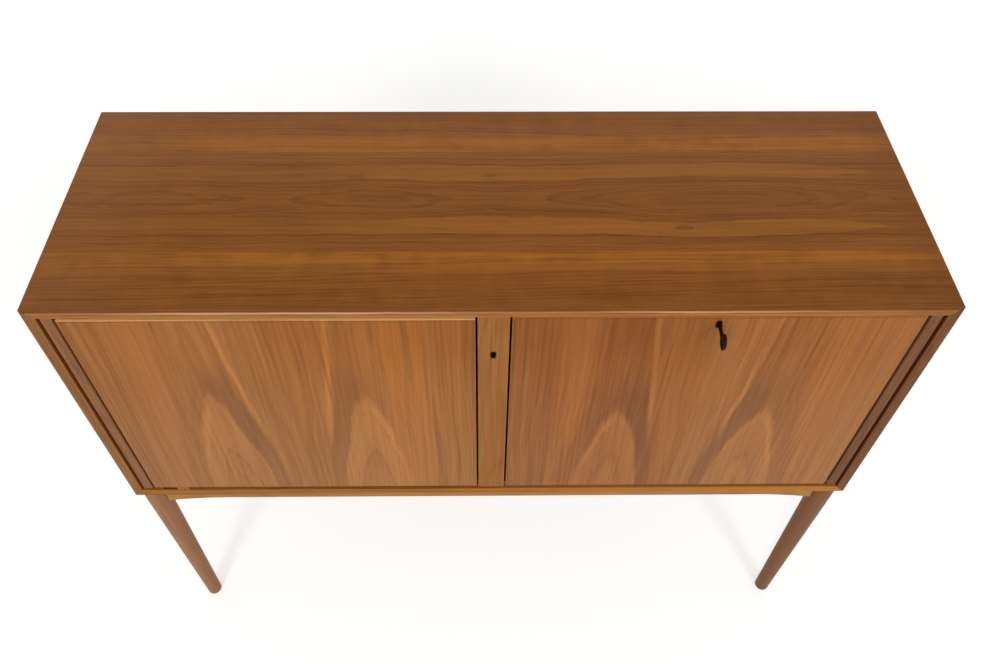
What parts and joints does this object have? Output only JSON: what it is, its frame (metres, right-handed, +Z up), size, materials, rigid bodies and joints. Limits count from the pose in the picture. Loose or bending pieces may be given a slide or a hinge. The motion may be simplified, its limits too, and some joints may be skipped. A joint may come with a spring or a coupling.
{
  "type": "cellarette",
  "caption": "Free-standing bar cabinet on four tapered legs, with a side-hung door, a locking stile and a drop-front bar flap on slotted stays.",
  "frame": {"origin": "on the floor, under the middle of the whole object's box, the key included", "axes": "+X along the front towards the flap, +Y from the front to the back, +Z up"},
  "size_m": [1.2, 0.44, 0.935],
  "materials": {
    "veneer_top": "satin oiled veneer",
    "veneer_sides": "satin oiled veneer",
    "veneer_bottom": "satin oiled veneer",
    "veneer_inside": "satin oiled veneer",
    "veneer_doors": "satin oiled veneer",
    "solid_walnut": "satin oiled solid wood",
    "bottom_edge": "satin oiled solid wood",
    "leg_walnut": "satin oiled solid wood",
    "back_plywood": "thin plywood, sealed",
    "block_wood": "planed, unfinished",
    "brass": "dull, handled brass",
    "dark_iron": "dark oiled iron",
    "dark_brass": "darkened brass"
  },
  "bodies": {
    "carcass": {"back_left_brace": "block_wood", "back_left_leg": "leg_walnut", "back_panel": "back_plywood", "back_rail": "leg_walnut", "back_right_brace": "block_wood", "back_right_leg": "leg_walnut", "bar_shelf": "veneer_inside", "bar_shelf_pins": "brass", "bottom_lipping": "bottom_edge", "bottom_panel": "veneer_bottom", "centre_stile": "solid_walnut", "door_rest": "bottom_edge", "door_stops": "solid_walnut", "flap_keeper": "brass", "front_left_brace": "block_wood", "front_left_leg": "leg_walnut", "front_rail": "leg_walnut", "front_right_brace": "block_wood", "front_right_leg": "leg_walnut", "jamb_flap_pivot": "brass", "left_jamb": "solid_walnut", "left_rail": "leg_walnut", "left_shelf": "veneer_inside", "left_shelf_pins": "brass", "left_side_lipping": "solid_walnut", "left_side_panel": "veneer_sides", "left_stay_block": "block_wood", "lower_door_pivot": "brass", "mitre_splines": "back_plywood", "partition": "veneer_inside", "right_jamb": "solid_walnut", "right_rail": "leg_walnut", "right_side_lipping": "solid_walnut", "right_side_panel": "veneer_sides", "right_stay_block": "block_wood", "sill_strip": "bottom_edge", "stay_studs": "brass", "stile_escutcheon": "dark_brass", "stile_flap_pivot": "brass", "stile_lock_case": "dark_iron", "top_lipping": "solid_walnut", "top_panel": "veneer_top", "upper_door_pivot": "brass"},
    "left_door": {"left_door_panel": "veneer_doors", "left_door_lipping": "solid_walnut", "left_door_leaves": "brass", "left_door_keeper": "brass"},
    "bar_flap": {"flap_panel": "veneer_doors", "flap_lipping": "solid_walnut", "flap_leaves": "brass", "flap_lock_case": "dark_iron", "flap_escutcheon": "dark_brass", "stay_brackets": "brass"},
    "key": {"key": "dark_iron"},
    "flap_bolt": {"flap_lock_bolt": "brass"},
    "stile_bolt": {"stile_lock_bolt": "brass"},
    "left_stay": {"left_stay_arm": "brass"},
    "right_stay": {"right_stay_arm": "brass"}
  },
  "joints": [
    {"name": "left_door_hinge", "type": "hinge", "parent": "carcass", "child": "left_door", "pos_m": [-0.552, -0.1725, 0.69625], "axis": [0, 0, -1], "range_deg": [0, 110]},
    {"name": "bar_flap_hinge", "type": "hinge", "parent": "carcass", "child": "bar_flap", "pos_m": [0.292, -0.174, 0.48], "axis": [1, 0, 0], "range_deg": [0, 90]},
    {"name": "key_turn", "type": "hinge", "parent": "bar_flap", "child": "key", "pos_m": [0.292, -0.179, 0.9045], "axis": [0, 1, 0], "range_deg": [0, 90]},
    {"name": "flap_bolt_slide", "type": "slide", "parent": "bar_flap", "child": "flap_bolt", "axis": [0, 0, 1], "range_m": [0, 0.006]},
    {"name": "stile_bolt_slide", "type": "slide", "parent": "carcass", "child": "stile_bolt", "axis": [-1, 0, 0], "range_m": [0, 0.006]},
    {"name": "left_stay_turn", "type": "hinge", "parent": "bar_flap", "child": "left_stay", "pos_m": [0.0265, -0.149, 0.6279], "axis": [1, 0, 0], "range_deg": [-45, 0]},
    {"name": "right_stay_turn", "type": "hinge", "parent": "bar_flap", "child": "right_stay", "pos_m": [0.5575, -0.149, 0.6279], "axis": [1, 0, 0], "range_deg": [-45, 0]}
  ],
  "couplings": [
    {"joint": "flap_bolt_slide", "follows": "key_turn", "m_per_rad": 0.0038197},
    {"joint": "left_stay_turn", "follows": "bar_flap_hinge", "ratio": -0.5},
    {"joint": "right_stay_turn", "follows": "bar_flap_hinge", "ratio": -0.5}
  ]
}
